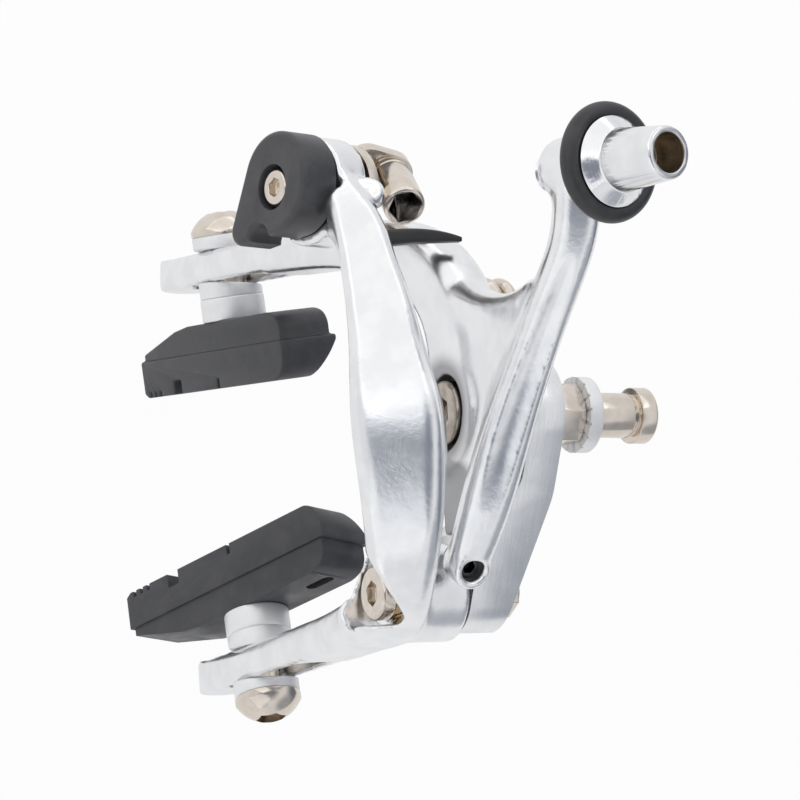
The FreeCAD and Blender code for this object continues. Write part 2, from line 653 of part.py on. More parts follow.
qr_screw = qr_screw.fuse(rod(screw_seat - release_axis * 7.5, release_axis, 1.5 - seat_gap, 7.5))
qr_screw = qr_screw.cut(hex_bar(screw_seat + release_axis * 1.0, release_axis, lever_side, 3.0, 4))

# Cable clamp: bent plate behind the eye, washer and socket bolt
clamp_base = release_center - release_axis * (eye_thick / 2 + clamp_gap + clamp_plate_thick)
clamp_across = release_axis.cross(clamp_axis)
clamp_across.normalize()
clamp_lean = clamp_axis.cross(clamp_across)
clamp_plate = rod(clamp_base, release_axis, clamp_plate_radius, clamp_plate_thick)
lug_reach = 12.4
lug_half = 4.1
lug_thick = 2.4
lug_spot = clamp_spot + clamp_lean * (lug_reach / 2 - lug_half) - clamp_axis * lug_thick
lug_ring = rounded_ring(lug_spot, clamp_across, clamp_lean, 2 * lug_half, lug_reach, lug_half - 0.1)
clamp_lug = Part.Face(lug_ring).extrude(clamp_axis * lug_thick)
clamp_lug = clamp_lug.cut(half_space(clamp_base + release_axis * 0.5, release_axis))
clamp_plate = clamp_plate.fuse(clamp_lug)
cam_slot_spot = clamp_base - release_axis * 1 - lever_up * cam_offset
slot_wide = 2 * (cam_pin_radius + cam_offset + 0.5)
slot_high = 2 * (cam_pin_radius + 0.6)
cam_slot_ring = rounded_ring(cam_slot_spot, lever_side, lever_up, slot_wide, slot_high, 2.4)
clamp_plate = clamp_plate.cut(Part.Face(cam_slot_ring).extrude(release_axis * 6))
clamp_bore = clamp_bolt_radius + thread_fit
clamp_plate = clamp_plate.cut(rod(clamp_spot - clamp_axis * 4, clamp_axis, clamp_bore, 8))
washer_thick = 1.2
washer_spot = clamp_spot + clamp_axis * seat_gap
clamp_washer = tube(washer_spot, clamp_axis, clamp_head_radius, clamp_bore, washer_thick)
head_spot = washer_spot + clamp_axis * (washer_thick + seat_gap)
clamp_bolt = soft_rod(head_spot, clamp_axis, clamp_head_radius, clamp_head_length, 0.7, 1)
clamp_bolt = clamp_bolt.fuse(rod(clamp_spot - clamp_axis * 3.4, clamp_axis, clamp_bolt_radius, 5))
socket_spot = head_spot + clamp_axis * (clamp_head_length - 4.4)
clamp_bolt = clamp_bolt.cut(hex_bar(socket_spot, clamp_axis, clamp_across, 5.0, 8))

# Return spring: fixed end in the plate, coil, and free arm that lifts the rear arm's shoulder
coil_front_y = coil_rear_y - coil_pitch * coil_turns
coil_top = coil_z + coil_radius
helix = Part.makeHelix(coil_pitch, coil_pitch * coil_turns, coil_radius)
helix.Placement = FreeCAD.Placement(Vec(0, 0, 0), FreeCAD.Rotation(Vec(0, 0, 1), forward))
helix_start = helix.Edges[0].valueAt(helix.Edges[0].FirstParameter)
helix.rotate(Vec(0, 0, 0), forward, 90 - degrees(atan2(helix_start.z, helix_start.x)))
helix.translate(Vec(coil_x, coil_rear_y, coil_z))
helix_wire = Part.Wire(helix.Edges)
wire_start = Vec(coil_x, coil_rear_y, coil_top)
wire_end = Vec(coil_x - coil_radius, coil_front_y, coil_z)
wire_section = Part.Wire(Part.Circle(wire_start, Vec(1, 0, 0), wire_radius).toShape())
return_spring = helix_wire.makePipeShell([wire_section], True, True)
fixed_arm = rod(wire_start, Vec(1, 0, 0), wire_radius, -4.6 - coil_x)
free_path = Part.BSplineCurve()
free_spots = [wire_end, Vec(-24.2, -16.6, -11.4), Vec(-24.3, -20.5, -14.4), Vec(-24.2, -26.0, -15.1),
              Vec(-24.0, -31.0, -15.2)]
free_path.interpolate(Points=free_spots, InitialTangent=Vec(0, 0, -1), FinalTangent=forward)
free_wire = Part.Wire(free_path.toShape())
free_start = Part.Wire(Part.Circle(wire_end, Vec(0, 0, -1), wire_radius).toShape())
free_arm = free_wire.makePipeShell([free_start], True, False)
return_spring = return_spring.fuse(fixed_arm)
return_spring = return_spring.fuse(Part.makeSphere(wire_radius + bend_bead, wire_end))
return_spring = return_spring.fuse(free_arm)

# Black plastic tongue behind the front arm's strap
tongue_rows = [
    (-41.4, -28.9, 3.9, 2.8, 3.6), (-36.0, -29.6, 4.5, 2.6, 3.2), (-30.0, -29.9, 4.3, 2.0, 2.6),
    (-24.9, -29.7, 3.9, 0.8, 1.4),
]
tongue_rings = []
for y, x, z, wide, high in tongue_rows:
    tongue_rings.append(rounded_ring(Vec(x, y, z), Vec(1, 0, 0), Vec(0, 0, 1), wide, high, wide * 0.3))
plastic_tongue = Part.makeLoft(tongue_rings, True, False, False, 3)
c_arm = c_arm.cut(plastic_tongue)

solids = {
    "c_arm": c_arm, "y_arm": y_arm, "bridge_plate": bridge_plate, "center_bolt": center_bolt,
    "center_bush": center_bush, "front_thrust_washer": front_thrust_washer,
    "rear_thrust_washer": rear_thrust_washer, "center_lock_nut": lock_nut, "spacer_washer": spacer_washer,
    "mounting_washer": mounting_washer, "sleeve_nut": sleeve_nut, "side_pivot_bolt": side_pivot_bolt,
    "side_pivot_bush": side_bush, "side_thrust_washer": side_thrust_washer, "side_pivot_nut": side_nut,
    "centring_screw": centring_screw, "adjuster_barrel": adjuster_barrel, "adjuster_grip_ring": grip_ring,
    "qr_lever": qr_lever, "qr_cam_shaft": qr_cam_shaft, "qr_lever_screw": qr_screw,
    "clamp_plate": clamp_plate, "clamp_washer": clamp_washer, "clamp_bolt": clamp_bolt,
    "return_spring": return_spring, "plastic_tongue": plastic_tongue,
}


# Brake pads with their bolts and ball-seat washers
def pad_set(side, leg_point, leg_normal, outward, upward):
    """All pieces of one pad. outward points along the bolt to its head, upward along the pad."""
    outward.normalize()
    upward = upward - outward * upward.dot(outward)
    upward.normalize()
    inward = outward * -1
    rear = upward.cross(outward)
    if rear.y < 0:
        rear = rear * -1
    half_leg = leg_thick / 2
    half_way = half_leg / outward.dot(leg_normal)
    seat = leg_point - outward * (half_way + dish_washer_thick + cone_washer_thick)
    inner_plane = half_space(leg_point - leg_normal * half_leg, leg_normal)
    outer_plane = half_space(leg_point + leg_normal * half_leg, leg_normal * -1)
    bolt_bore = rod(seat - outward * 20, outward, pad_bolt_radius + thread_fit, 60)
    ball_seat = turned_cap(seat, outward, upward, 0.0, pad_washer_radius, 0,
                           cone_washer_thick - ball_seat_rise, cone_washer_thick)
    cone_washer = ball_seat.cut(bolt_bore)
    dish_washer = rod(seat + outward * 1.0, outward, pad_washer_radius - 0.1, 14)
    dish_washer = dish_washer.cut(ball_seat.translated(outward * seat_gap))
    dish_washer = dish_washer.cut(inner_plane).cut(bolt_bore)
    outer_face = leg_point + outward * (half_way + outer_washer_thick)
    outer_washer = rod(leg_point, outward, pad_washer_radius, (outer_face - leg_point).Length)
    outer_washer = outer_washer.cut(outer_plane).cut(bolt_bore)

    bolt = turned_cap(outer_face, outward, upward, 0.0, pad_head_radius, 0, pad_head_rim, pad_head_thick)
    bolt_length = (outer_face - seat).Length + insert_depth - 0.8
    bolt = bolt.fuse(rod(outer_face, inward, pad_bolt_radius, bolt_length))
    bolt = bolt.cut(hex_bar(outer_face + outward * (pad_head_thick - 3.0), outward, upward, 5.0, 6))

    def at(along, across, deep):
        return seat + upward * along + rear * across + inward * deep

    def prism(outline, first, last):
        corners = [at(along, first, deep) for along, deep in outline]
        corners.append(corners[0])
        return Part.Face(Part.makePolygon(corners)).extrude(rear * (last - first))

    low, top = -pad_length_down, pad_length_up
    half_block, half_back = pad_block_width / 2, pad_back_width / 2
    block = prism([(low, pad_back_thick), (low, pad_thick - 0.8), (low + 1.2, pad_thick),
                   (top - 2.5, pad_thick), (top, pad_thick - 3.4), (top, pad_back_thick)],
                  -half_block, half_block)
    backing = prism([(low + 0.6, pad_back_thick), (low + 0.6, 4.2), (-15, 0.6), (-10, 0), (top - 4, 0),
                     (top - 1, 1.8), (top - 1, pad_back_thick)], -half_back, half_back)
    pad = block.fuse(backing).removeSplitter()
    slope = [at(low - 5, half_block + 1, pad_back_thick), at(low - 5, half_block + 1, pad_thick + 3),
             at(low - 5, half_block - 6.4, pad_thick + 3), at(low - 5, half_block, pad_back_thick + 1)]
    slope.append(slope[0])
    pad = pad.cut(Part.Face(Part.makePolygon(slope)).extrude(upward * 80))
    cuts = ((-26.5, 0.8, 1.2), (-24.5, 0.8, 1.2), (-22.5, 0.8, 1.2), (-15.2, 3.0, 2.8), (0.9, 0.8, 2.0))
    for along, wide, deep in cuts:
        cutter = prism([(along - wide / 2, pad_thick - deep), (along + wide / 2, pad_thick - deep),
                        (along + wide / 2, pad_thick + 2), (along - wide / 2, pad_thick + 2)], -20, 20)
        pad = pad.cut(cutter)
    insert = rod(seat, inward, insert_radius, insert_depth)
    pad = pad.cut(insert)
    insert = insert.cut(bolt_bore)
    return {
        "brake_pad_" + side: pad, "pad_insert_" + side: insert, "pad_cone_washer_" + side: cone_washer,
        "pad_dish_washer_" + side: dish_washer, "pad_outer_washer_" + side: outer_washer,
        "pad_bolt_" + side: bolt,
    }


right_outward = Vec(0.963, -0.02, 0.27)
right_upward = Vec(-0.256, 0.364, 0.898)
left_outward = Vec(-0.98, -0.14, 0.097)
left_upward = Vec(0.08, 0.127, 0.989)
solids.update(pad_set("right", right_leg[0], right_leg[2], right_outward, right_upward))
solids.update(pad_set("left", left_leg[0], left_leg[2] * -1, left_outward, left_upward))

os.makedirs("parts", exist_ok=True)
for name, shape in solids.items():
    shape.exportStep("parts/" + name + ".step")
    if not shape.isValid() or len(shape.Solids) != 1:
        print("look at", name, shape.isValid(), len(shape.Solids))
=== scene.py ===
import json
from math import asin, cos, radians, sin

import bmesh
import bpy
import numpy as np
from mathutils import Matrix, Vector
from mathutils.bvhtree import BVHTree


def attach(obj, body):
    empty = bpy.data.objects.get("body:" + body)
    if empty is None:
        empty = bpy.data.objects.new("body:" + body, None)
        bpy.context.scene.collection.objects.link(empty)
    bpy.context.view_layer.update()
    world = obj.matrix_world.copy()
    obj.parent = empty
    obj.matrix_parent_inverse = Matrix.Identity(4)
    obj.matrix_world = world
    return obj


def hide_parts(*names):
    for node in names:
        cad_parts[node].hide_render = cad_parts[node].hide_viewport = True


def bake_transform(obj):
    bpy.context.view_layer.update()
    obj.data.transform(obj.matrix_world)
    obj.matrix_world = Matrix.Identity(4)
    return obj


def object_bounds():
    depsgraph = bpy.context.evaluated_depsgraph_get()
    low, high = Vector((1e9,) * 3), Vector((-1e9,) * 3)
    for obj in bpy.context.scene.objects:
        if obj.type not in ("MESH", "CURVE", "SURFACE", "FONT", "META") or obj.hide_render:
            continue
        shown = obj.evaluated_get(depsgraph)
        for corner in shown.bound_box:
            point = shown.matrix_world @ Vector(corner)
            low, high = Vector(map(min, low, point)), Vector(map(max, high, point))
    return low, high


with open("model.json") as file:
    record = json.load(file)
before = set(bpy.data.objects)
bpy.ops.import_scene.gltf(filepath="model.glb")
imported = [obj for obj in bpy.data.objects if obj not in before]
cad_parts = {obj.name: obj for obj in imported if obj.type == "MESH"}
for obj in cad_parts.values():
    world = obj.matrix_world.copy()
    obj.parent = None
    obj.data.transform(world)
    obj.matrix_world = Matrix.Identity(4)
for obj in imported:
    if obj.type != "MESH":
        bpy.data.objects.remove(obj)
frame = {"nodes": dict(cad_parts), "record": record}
cad_low, cad_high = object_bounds()
joints = {joint["name"]: joint for joint in frame["record"]["behaviour"]["joints"]}
slot_of = {part["node"]: part["material_slot"] for part in frame["record"]["subparts"]}
body_of = {}
for body, nodes in frame["record"]["behaviour"]["bodies"].items():
    for node in nodes:
        body_of[node] = body

MM = 0.001

# Clean-up of CAD meshes: points this near are one, and faces this flat are joined
SEAM = 1e-6
FLAT_ANGLE = radians(0.4)
TINY_EDGE = 0.02 * MM

# Broken edges of the machined and moulded pieces
SHARP_ANGLE = radians(32)
EDGE_SEGMENTS = 3
BOLT_EDGE = 0.22 * MM
WASHER_EDGE = 0.28 * MM
PAD_EDGE = 0.45 * MM
OWN_EDGE = {
    "bridge_plate": 0.55 * MM, "qr_lever": 0.35 * MM, "clamp_plate": 0.3 * MM,
    "plastic_tongue": 0.2 * MM, "mounting_washer": 0.1 * MM,
    "return_spring": 0.0, "adjuster_grip_ring": 0.0,
}

# Skin of the two forgings: size of its faces, and weights and passes of its smoothing
ARM_GRAIN = 0.45 * MM
ARM_SHARP_ANGLE = radians(60)
SOFTEN_WEIGHT = 0.5
SETTLE_WEIGHTS = (0.5, -0.52)
SETTLE_PASSES = 12
LAST_SETTLE_PASSES = 6
FILL_WEIGHT = 0.5
NORMALS_EVERY = 10

# Painted shade, with a rougher polish, in the forgings' slots and pockets, found by rays cast from each
# point
RECESS_REACH = 7 * MM
RECESS_LIFT = 0.05 * MM
RECESS_TILTS = (radians(30), radians(62))
RECESS_SPOKES = 6
RECESS_BLUR_PASSES = 4
SPOT_SHADE = 0.72

# Rear arm: inside corners to fill and spots of painted shade with a rougher polish, each with a place and
# a reach
REAR_ARM_SOFTENING = 12
REAR_ARM_FILL_PASSES = 70
REAR_ARM_FILLS = [
    ((-0.017, -0.0262, 0.013), 0.020),
    ((-0.004, -0.0262, 0.016), 0.020),
    ((0.012, -0.0265, 0.008), 0.016),
    ((-0.031, -0.021, 0.038), 0.012),
]
REAR_ARM_SHADED_SPOTS = [((0.0, -0.0285, 0.0), 0.016), ((0.014, -0.0262, -0.002), 0.014)]
HUB_CLEAR = 7.2 * MM
ADJUSTER_CLEAR = 3.6 * MM

# Thin web under the rear arm's hub, darkened by a spot of painted shade
HUB_WEB = [
    (0.006, -0.0262, -0.006), (0.0207, -0.0262, -0.006),
    (0.0207, -0.0262, 0.004), (0.006, -0.0262, 0.006),
]
HUB_WEB_RISE = (0, 0.0033, 0)

# Front arm: inside corner to fill, kept out of the round where the lever's foot turns
FRONT_ARM_SOFTENING = 5
FRONT_ARM_FILL_PASSES = 90
FRONT_ARM_FILLS = [((-0.040, -0.043, -0.006), 0.016)]
SIDE_PIVOT_CLEAR = 6.8 * MM
RELEASE_SWEEP = 13 * MM

# Open corner of the front arm's pivot pocket
POCKET_CORNER = [
    (0.0327, -0.0461, -0.0044), (0.0239, -0.0429, -0.0014),
    (0.0233, -0.0533, -0.0065), (0.0323, -0.0532, -0.0078),
]
POCKET_CORNER_RISE = (-0.0028, 0.0088, -0.0177)

# Rear ends of the pads: the long, slanted edges there are rounded
PAD_END_ROUND = 2.6 * MM
PAD_END_SEGMENTS = 5
PAD_END_LENGTH = 8 * MM
PAD_END_ANGLES = (radians(25), radians(65))

# Slot in the back of the right pad, near its rear end
PAD_SLOT_CENTER = Vector((0.0241, -0.0269, -0.0568))
PAD_SLOT_FACING = Vector((0.96, -0.02, 0.27)).normalized()
PAD_SLOT_ALONG = Vector((-0.244, 0.359, 0.895))
PAD_SLOT_HALF_LENGTH = 1.9 * MM
PAD_SLOT_HALF_WIDTH = 1.3 * MM
PAD_SLOT_DEPTH = 3 * MM
PAD_SLOT_STEPS = 24

# Pad bolts: chamfered shank, and a low dome on a straight rim with a hexagon socket
SHANK_RADIUS = 2.95 * MM
SHANK_CHAMFER = 0.3 * MM
SHANK_CHAMFER_LENGTH = 0.4 * MM
HEAD_RADIUS = 6.3 * MM
HEAD_RIM = 1.2 * MM
HEAD_RIM_EDGE = 0.2 * MM
HEAD_THICK = 5.0 * MM
HEAD_SHARE = 0.8
SOCKET_WIDTH = 5.0 * MM
SOCKET_DEPTH = 3.0 * MM
DOME_STEPS = 15
TURNING_STEPS = 72

# Bare thread ends
THREAD_STEPS = 40
THREAD_SIDES = 4
ADJUSTER_THREAD_DROP = 14.8 * MM
SIDE_PIVOT_THREAD_SHIFT = Vector((0, 0.0188, 0))
SIDE_PIVOT_THREAD_AXIS = Vector((0, 1, 0))
CLAMP_THREAD_START = Vector((-0.0458, -0.0304, -0.0125))
CLAMP_THREAD_AXIS = Vector((0.638, -0.157, 0.754)).normalized()

# Adjuster's bore, measured along its axis from its hinge point
BORE_START = 6 * MM
BORE_RADIUS = 3.25 * MM
BORE_START_FADE = 0.5 * MM
BORE_EDGE_FADE = 0.12 * MM

# Colours of the finishes, as two shades each
POLISHED = ((0.86, 0.866, 0.88, 1), (0.92, 0.922, 0.93, 1))
# Painted shade for the forgings' slots, pockets and listed spots
RECESS_SHADE = (0.29, 0.29, 0.30, 1)
TURNED = ((0.84, 0.845, 0.86, 1), (0.91, 0.912, 0.92, 1))
# Brown tone of the adjuster's bore, darkened by painted shade
BORE_TONE_AND_SHADE = ((0.42, 0.36, 0.28, 1), (0.62, 0.55, 0.45, 1))
SATIN = ((0.92, 0.923, 0.926, 1), (0.96, 0.96, 0.962, 1))
BRUSHED = ((0.78, 0.785, 0.80, 1), (0.88, 0.882, 0.89, 1))
NICKEL = ((0.70, 0.63, 0.555, 1), (0.78, 0.71, 0.63, 1))
# A darker nickel for the center bolt
DARKER_NICKEL = ((0.34, 0.30, 0.26, 1), (0.52, 0.47, 0.41, 1))
# Near-black painted shade for the centring screw, deep in its hole
SCREW_HOLE_SHADE = ((0.05, 0.05, 0.05, 1), (0.10, 0.10, 0.10, 1))
DARK_STEEL = ((0.20, 0.19, 0.18, 1), (0.34, 0.33, 0.31, 1))
BRONZE = ((0.46, 0.32, 0.16, 1), (0.62, 0.46, 0.25, 1))
PAD_RUBBER = ((0.048, 0.049, 0.054, 1), (0.086, 0.086, 0.093, 1))
GRIP_RUBBER = ((0.036, 0.036, 0.038, 1), (0.066, 0.066, 0.069, 1))
BLACK_PAINT = ((0.056, 0.056, 0.061, 1), (0.088, 0.088, 0.094, 1))
BLACK_PLASTIC = ((0.022, 0.022, 0.024, 1), (0.034, 0.034, 0.036, 1))

# Pieces whose finish differs from the rest of their slot; the centring screw's near-black is painted shade
# of its deep hole
OWN_FINISH = {
    "adjuster_barrel": "turned_aluminium", "center_bolt": "darker_nickel",
    "centring_screw": "shaded_screw_steel",
}

# White floor: how bright it is to the eye and in reflections
WHITE = (1, 1, 1, 1)
FLOOR_SIZE = 6.0
FLOOR_GAP = 4 * MM
FLOOR_CLOTH = (0.86, 0.86, 0.87, 1)
FLOOR_SEEN = 0.96
FLOOR_MIRRORED = 0.7

# Light tent: direction, cosines where each patch starts and is full, and its colour
TENT_BASE = (0.79, 0.80, 0.82, 1)
TENT_PATCHES = [
    ((-0.78, -0.32, 0.53), 0.66, 0.82, (0.03, 0.03, 0.03, 1)),
    ((0.68, -0.62, 0.40), 0.84, 0.94, (0.34, 0.35, 0.36, 1)),
    ((0.25, -0.30, 0.92), 0.74, 0.97, (0.17, 0.19, 0.24, 1)),
    ((0.10, 0.99, 0.02), 0.60, 0.93, (0.13, 0.15, 0.20, 1)),
    ((0.75, 0.60, 0.30), 0.88, 0.98, (0.34, 0.36, 0.40, 1)),
    ((-0.55, -0.70, -0.30), 0.90, 0.99, (0.30, 0.32, 0.37, 1)),
]
TENT_WHITENING = 0.06
TENT_BOUNCE_CUT = 0.25

# Lamp panels: place, side length in metres and power in watts
PANELS = {
    "key_panel": ((-0.80, -0.35, 0.52), 2.0, 11.5),
    "fill_panel": ((0.75, -0.70, 0.42), 1.0, 1.8),
}

# Camera, as the photograph is framed
CAMERA_RIGHT = (0.05158, 0.89787, 0.43724)
CAMERA_UP = (-0.98874, -0.01567, 0.14883)
CAMERA_BACK = (0.14047, -0.44, 0.88694)
CAMERA_PLACE = (0.06594, -0.24934, 0.42960)
CAMERA_LENS = 127.575
CAMERA_SENSOR = 36.0
CAMERA_CLIP_START = 0.01


class Value:
    """A node's output that can be used in plain arithmetic."""

    def __init__(self, finish, socket):
        self.finish = finish
        self.socket = socket

    def math(self, operation, first, second):
        return self.finish.node("ShaderNodeMath", {"operation": operation}, {0: first, 1: second})

    def __add__(self, other):
        return self.math("ADD", self, other)

    def __rsub__(self, other):
        return self.math("SUBTRACT", other, self)

    def __mul__(self, other):
        return self.math("MULTIPLY", self, other)

    def most(self, other):
        return self.math("MAXIMUM", self, other)


class Finish:
    """A node tree for one finish: node() adds any node and gives back its output."""

    def __init__(self, owner):
        owner.use_nodes = True
        self.owner = owner
        self.tree = owner.node_tree
        self.tree.nodes.clear()

    def node(self, kind, settings=None, sockets=None, output=0):
        made = self.tree.nodes.new(kind)
        for key, value in (settings or {}).items():
            setattr(made, key, value)
        for key, value in (sockets or {}).items():
            if isinstance(value, Value):
                self.tree.links.new(value.socket, made.inputs[key])
            else:
                made.inputs[key].default_value = value
        if len(made.outputs) == 0:
            return made
        return Value(self, made.outputs[output])

    def place(self):
        return self.node("ShaderNodeTexCoord", output="Object")

    def stretched(self, scale):
        return self.node("ShaderNodeMapping", {}, {"Vector": self.place(), "Scale": scale})

    def noise(self, vector, scale, detail=2.0, rough=0.5):
        sockets = {"Vector": vector, "Scale": scale, "Detail": detail, "Roughness": rough}
        return self.node("ShaderNodeTexNoise", {}, sockets, "Fac")

    def vector_math(self, operation, first, second, output=0):
        return self.node("ShaderNodeVectorMath", {"operation": operation}, {0: first, 1: second}, output)

    def light_path(self, kind):
        return self.node("ShaderNodeLightPath", output=kind)

    def span(self, value, low, high, start, end):
        """value between low and high, eased to run from start to end."""
        sockets = {"Value": value, "From Min": low, "From Max": high, "To Min": start, "To Max": end}
        return self.node("ShaderNodeMapRange", {"interpolation_type": "SMOOTHSTEP"}, sockets)

    def blend(self, factor, first, second):
        sockets = {"Factor": factor, 6: first, 7: second}
        return self.node("ShaderNodeMix", {"data_type": "RGBA"}, sockets, 2)

    def relief(self, height, depth):
        return self.node("ShaderNodeBump", {}, {"Strength": 1.0, "Distance": depth, "Height": height})

    def close(self, colour, rough, relief, metallic=0.0):
        sockets = {"Base Color": colour, "Metallic": metallic, "Roughness": rough, "Normal": relief}
        skin = self.node("ShaderNodeBsdfPrincipled", {}, sockets)
        self.node("ShaderNodeOutputMaterial", {}, {"Surface": skin})
        return self.owner


def polished_aluminium():
    """Hand-polished forging: bright with fine pits and soft ripples, darkened by painted shade and rougher
    in its recesses and on listed spots.
    """
    finish = Finish(bpy.data.materials.new("polished_aluminium"))
    recess_shade = finish.node("ShaderNodeAttribute", {"attribute_name": "recess_shade"}, {}, "Fac")
    pits = finish.noise(finish.place(), scale=4600, rough=0.7)
    ripple = finish.noise(finish.place(), scale=1200, detail=3.0, rough=0.55)
    swell = finish.noise(finish.place(), scale=210)
    haze = finish.noise(finish.place(), scale=110, detail=3.0)
    # painted shade: the recess value darkens the colour towards RECESS_SHADE, and it also roughens the
    # surface
    shade_and_dullness = finish.span(recess_shade, 0.42, 0.85, 0, 1)
    bright = finish.blend(finish.span(swell, 0.35, 0.65, 0, 1), *POLISHED)
    colour = finish.blend(shade_and_dullness, bright, RECESS_SHADE)
    rough = finish.span(haze, 0.3, 0.7, 0.15, 0.24) + pits * 0.06 + shade_and_dullness * 0.22
    height = pits * 0.4 + ripple * 0.75 + swell * 1.6 + pits * shade_and_dullness * 1.5
    return finish.close(colour, rough, finish.relief(height, 0.03 * MM), metallic=1.0)


def turned_aluminium(base, axis):
    """Turned adjuster barrel: fine rings round its axis, and a rougher bore whose brown tone is darkened
    by painted shade.
    """
    finish = Finish(bpy.data.materials.new("turned_aluminium"))
    offset = finish.vector_math("SUBTRACT", finish.place(), base)
    along = finish.vector_math("DOT_PRODUCT", offset, axis, "Value")
    across = finish.vector_math("CROSS_PRODUCT", offset, axis)
    radius = finish.node("ShaderNodeVectorMath", {"operation": "LENGTH"}, {0: across}, "Value")
    rings = finish.node("ShaderNodeTexNoise", {"noise_dimensions": "1D"},
                        {"W": along, "Scale": 5200, "Detail": 3.0, "Roughness": 0.65}, "Fac")
    cloud = finish.noise(finish.place(), scale=260)
    inside = finish.span(radius, BORE_RADIUS, BORE_RADIUS + BORE_EDGE_FADE, 1, 0)
    inside = inside * finish.span(along, BORE_START, BORE_START + BORE_START_FADE, 0, 1)
    bright = finish.blend(finish.span(cloud, 0.3, 0.7, 0, 1), *TURNED)
    bore = finish.blend(finish.span(rings, 0.35, 0.65, 0, 1), *BORE_TONE_AND_SHADE)
    # painted shade: inside the bore the colour turns to the darker brown
    colour = finish.blend(inside, bright, bore)
    rough = finish.span(rings, 0.3, 0.7, 0.13, 0.22) + inside * 0.15
    return finish.close(colour, rough, finish.relief(rings, 0.006 * MM), metallic=1.0)


def satin_aluminium():
    """Bead-blasted washers: almost white, grainy and soft."""
    finish = Finish(bpy.data.materials.new("satin_aluminium"))
    grain = finish.noise(finish.place(), scale=4200, rough=0.7)
    cloud = finish.noise(finish.place(), scale=300)
    colour = finish.blend(finish.span(cloud, 0.3, 0.7, 0, 1), *SATIN)
    rough = finish.span(grain, 0.3, 0.7, 0.42, 0.6)
    return finish.close(colour, rough, finish.relief(grain, 0.03 * MM), metallic=0.7)


def brushed_aluminium():
    """Linished plate: streaks that run round its edge."""
    finish = Finish(bpy.data.materials.new("brushed_aluminium"))
    streaks = finish.noise(finish.stretched((170, 2800, 170)), scale=1.0, detail=4.0, rough=0.6)
    cloud = finish.noise(finish.place(), scale=160)
    colour = finish.blend(finish.span(cloud, 0.3, 0.7, 0, 1), *BRUSHED)
    rough = finish.span(streaks, 0.3, 0.7, 0.2, 0.32)
    return finish.close(colour, rough, finish.relief(streaks, 0.014 * MM), metallic=1.0)


def plated_steel(name, shades):
    """Plated fasteners: warm grey with a faint grain, also in a darker nickel, and near-black as painted
    shade.
    """
    finish = Finish(bpy.data.materials.new(name))
    cloud = finish.noise(finish.place(), scale=420, detail=3.0)
    grain = finish.noise(finish.place(), scale=3200)
    colour = finish.blend(finish.span(cloud, 0.3, 0.7, 0, 1), *shades)
    rough = finish.span(cloud, 0.3, 0.7, 0.11, 0.18) + grain * 0.04
    return finish.close(colour, rough, finish.relief(grain, 0.008 * MM), metallic=1.0)


def bearing_metal(name, shades, rough_low, rough_high):
    """Thrust washers and bushes: oiled and cloudy."""
    finish = Finish(bpy.data.materials.new(name))
    cloud = finish.noise(finish.place(), scale=500, detail=3.0)
    rough = finish.span(cloud, 0.3, 0.7, rough_low, rough_high)
    return finish.close(finish.blend(cloud, *shades), rough, finish.relief(cloud, 0.02 * MM), metallic=1.0)


def moulded_black(name, shades, rough_low, rough_high, grain_scale, depth):
    """Black rubber, paint or plastic: grainy, with paler dusty patches."""
    finish = Finish(bpy.data.materials.new(name))
    grain = finish.noise(finish.place(), scale=grain_scale, detail=3.0, rough=0.6)
    dust = finish.noise(finish.place(), scale=180, detail=4.0, rough=0.6)
    colour = finish.blend(finish.span(dust, 0.35, 0.75, 0, 1), *shades)
    rough = finish.span(dust, 0.3, 0.7, rough_low, rough_high)
    return finish.close(colour, rough, finish.relief(grain, depth))


def hinge_of(name):
    """A joint's point and axis."""
    joint = joints[name]
    return Vector(joint["pos_m"]), Vector(joint["axis"]).normalized()


center_pivot, center_axis = hinge_of("y_arm_pivot")
side_pivot, side_axis = hinge_of("c_arm_pivot")
release_pivot, release_axis = hinge_of("quick_release_turn")
adjuster_base, adjuster_axis = hinge_of("adjuster_turn")

finishes = {
    "polished_aluminium": polished_aluminium(),
    "turned_aluminium": turned_aluminium(adjuster_base, adjuster_axis),
    "satin_aluminium": satin_aluminium(),
    "brushed_aluminium": brushed_aluminium(),
    "nickel_steel": plated_steel("nickel_steel", NICKEL),
    "darker_nickel": plated_steel("darker_nickel", DARKER_NICKEL),
    "shaded_screw_steel": plated_steel("shaded_screw_steel", SCREW_HOLE_SHADE),
    "dark_steel": bearing_metal("dark_steel", DARK_STEEL, 0.3, 0.45),
    "bush_bronze": bearing_metal("bush_bronze", BRONZE, 0.25, 0.4),
    "pad_rubber": moulded_black("pad_rubber", PAD_RUBBER, 0.34, 0.56, 2600, 0.035 * MM),
    "grip_rubber": moulded_black("grip_rubber", GRIP_RUBBER, 0.32, 0.48, 3000, 0.015 * MM),
    "black_paint": moulded_black("black_paint", BLACK_PAINT, 0.34, 0.48, 3600, 0.02 * MM),
    "black_plastic": moulded_black("black_plastic", BLACK_PLASTIC, 0.36, 0.52, 3000, 0.02 * MM),
}


def finish_for(node):
    return finishes[OWN_FINISH.get(node, slot_of[node])]


def joined_copy(node):
    """A copy of a CAD solid's mesh with its seams joined and its flat faces whole."""
    mesh = frame["nodes"][node].data.copy()
    work = bmesh.new()
    work.from_mesh(mesh)
    bmesh.ops.remove_doubles(work, verts=work.verts, dist=SEAM)
    bmesh.ops.dissolve_limit(work, angle_limit=FLAT_ANGLE, verts=work.verts, edges=work.edges)
    work.to_mesh(mesh)
    work.free()
    return mesh


def faced_outward(mesh):
    work = bmesh.new()
    work.from_mesh(mesh)
    bmesh.ops.recalc_face_normals(work, faces=work.faces)
    work.to_mesh(mesh)
    work.free()
    return mesh


